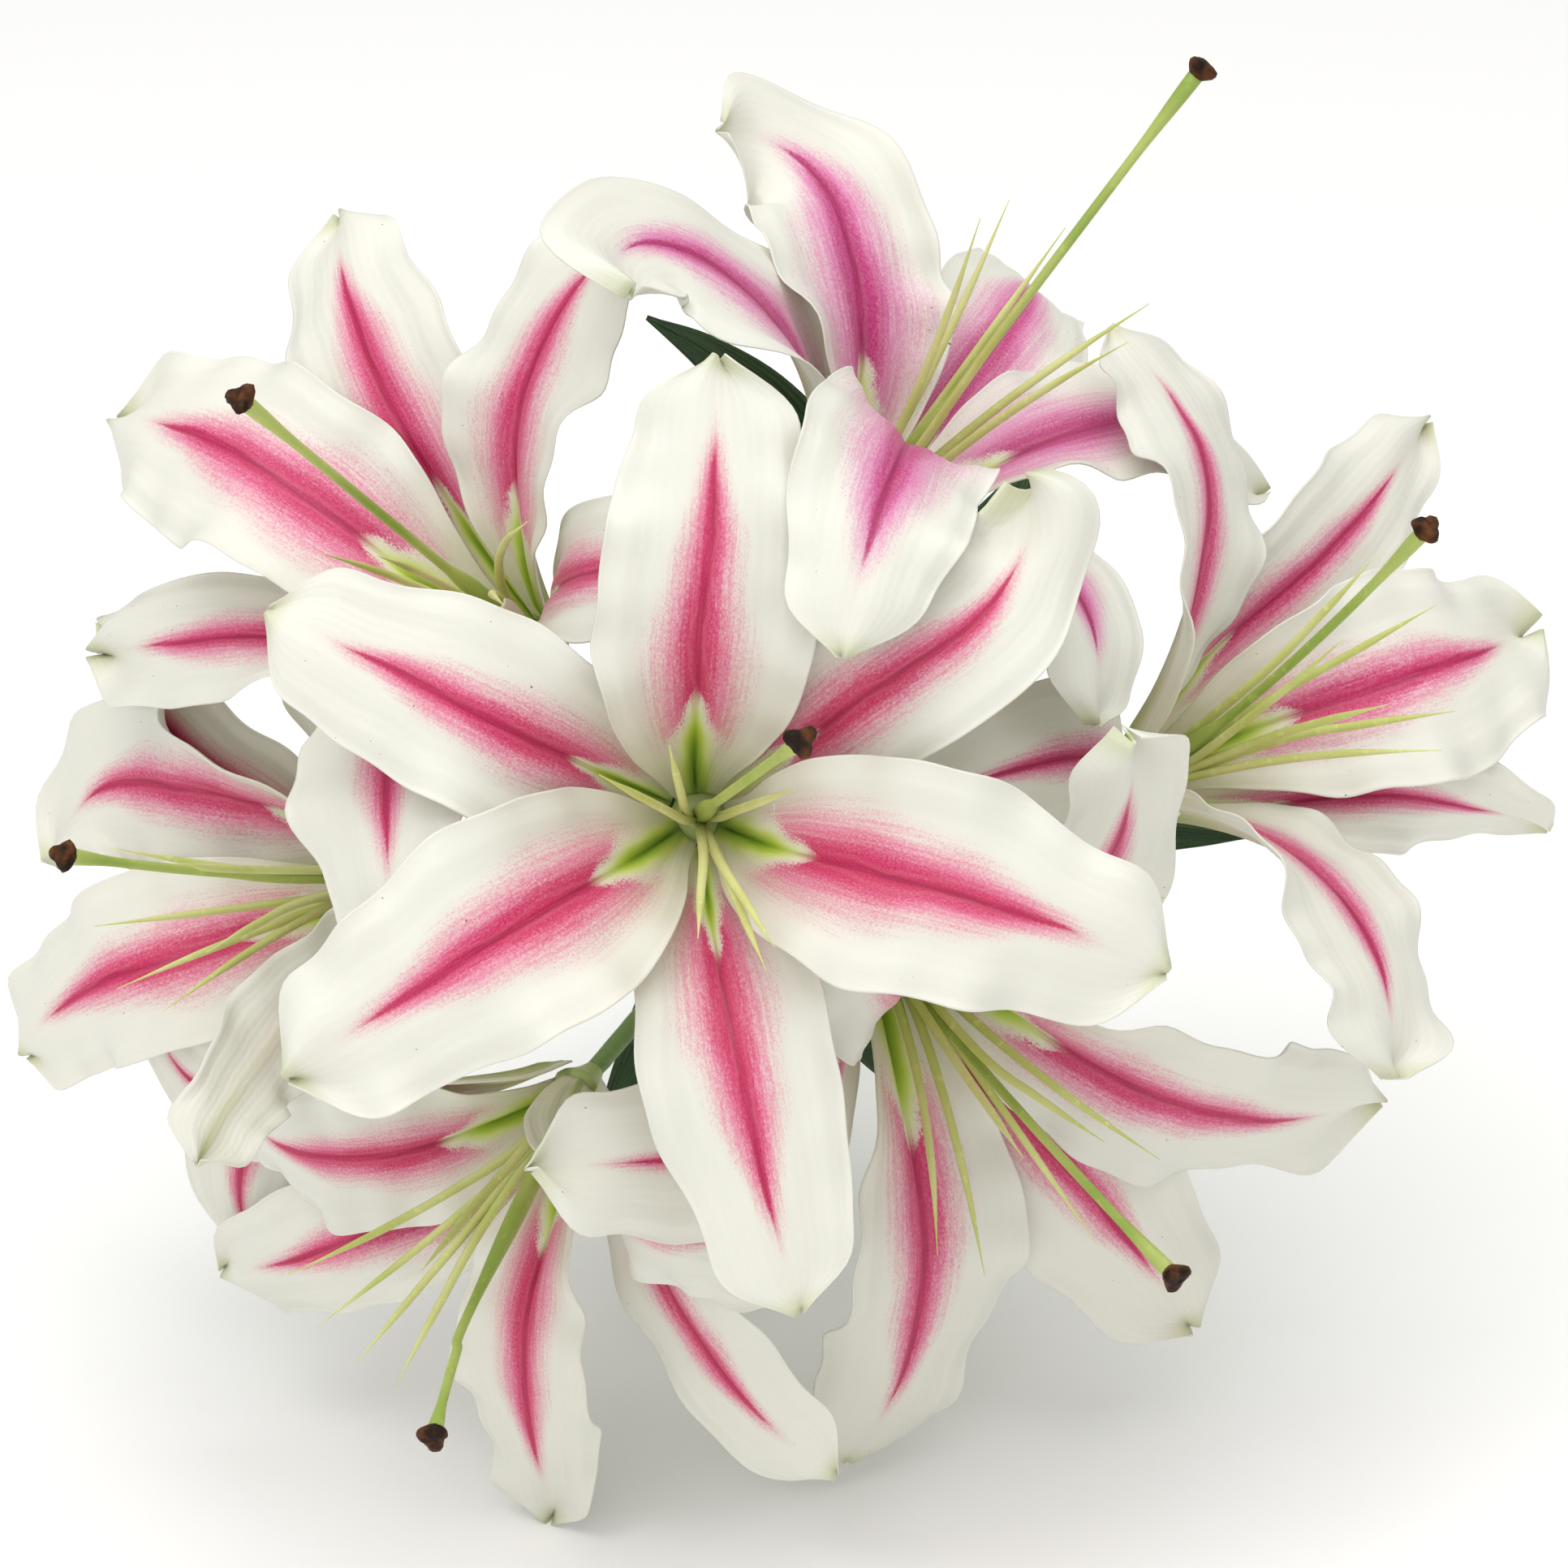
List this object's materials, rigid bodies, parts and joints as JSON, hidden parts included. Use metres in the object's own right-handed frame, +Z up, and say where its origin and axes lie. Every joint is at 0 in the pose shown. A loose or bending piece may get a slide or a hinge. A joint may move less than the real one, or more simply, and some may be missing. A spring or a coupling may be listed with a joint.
{
  "type": "bunch of lilies",
  "caption": "Loose round bunch of open lilies with spread tepals, long pistils, cut stems and a few leaves, lying on its side.",
  "frame": {"origin": "centre of the bounding box's base, on the surface the bunch lies on", "axes": "+Z up; +Y from the flowers towards the cut ends of the stems; +X to the right of someone who faces the flowers"},
  "size_m": [0.3636, 0.3894, 0.3331],
  "materials": {
    "tepal": "satin",
    "pistil": "satin",
    "stem": "satin",
    "leaf": "satin"
  },
  "bodies": {
    "root": {"centre_tepal_1": "tepal", "centre_tepal_2": "tepal", "centre_tepal_3": "tepal", "centre_tepal_4": "tepal", "centre_tepal_5": "tepal", "centre_tepal_6": "tepal", "upper_left_tepal_1": "tepal", "upper_left_tepal_2": "tepal", "upper_left_tepal_3": "tepal", "upper_left_tepal_4": "tepal", "upper_left_tepal_5": "tepal", "upper_left_tepal_6": "tepal", "top_tepal_1": "tepal", "top_tepal_2": "tepal", "top_tepal_3": "tepal", "top_tepal_4": "tepal", "top_tepal_5": "tepal", "top_tepal_6": "tepal", "right_tepal_1": "tepal", "right_tepal_2": "tepal", "right_tepal_3": "tepal", "right_tepal_4": "tepal", "right_tepal_5": "tepal", "right_tepal_6": "tepal", "lower_right_tepal_1": "tepal", "lower_right_tepal_2": "tepal", "lower_right_tepal_3": "tepal", "lower_right_tepal_4": "tepal", "lower_right_tepal_5": "tepal", "lower_right_tepal_6": "tepal", "bottom_tepal_1": "tepal", "bottom_tepal_2": "tepal", "bottom_tepal_3": "tepal", "bottom_tepal_4": "tepal", "bottom_tepal_5": "tepal", "bottom_tepal_6": "tepal", "left_tepal_1": "tepal", "left_tepal_2": "tepal", "left_tepal_3": "tepal", "left_tepal_4": "tepal", "left_tepal_5": "tepal", "left_tepal_6": "tepal", "centre_pistil_and_filaments": "pistil", "upper_left_pistil_and_filaments": "pistil", "top_pistil_and_filaments": "pistil", "right_pistil_and_filaments": "pistil", "lower_right_pistil_and_filaments": "pistil", "bottom_pistil_and_filaments": "pistil", "left_pistil_and_filaments": "pistil", "left_stem": "stem", "right_stem": "stem", "middle_stem": "stem", "leaf_1": "leaf", "leaf_2": "leaf", "leaf_3": "leaf", "leaf_4": "leaf", "leaf_5": "leaf", "leaf_6": "leaf", "leaf_7": "leaf", "leaf_8": "leaf"}
  },
  "joints": []
}
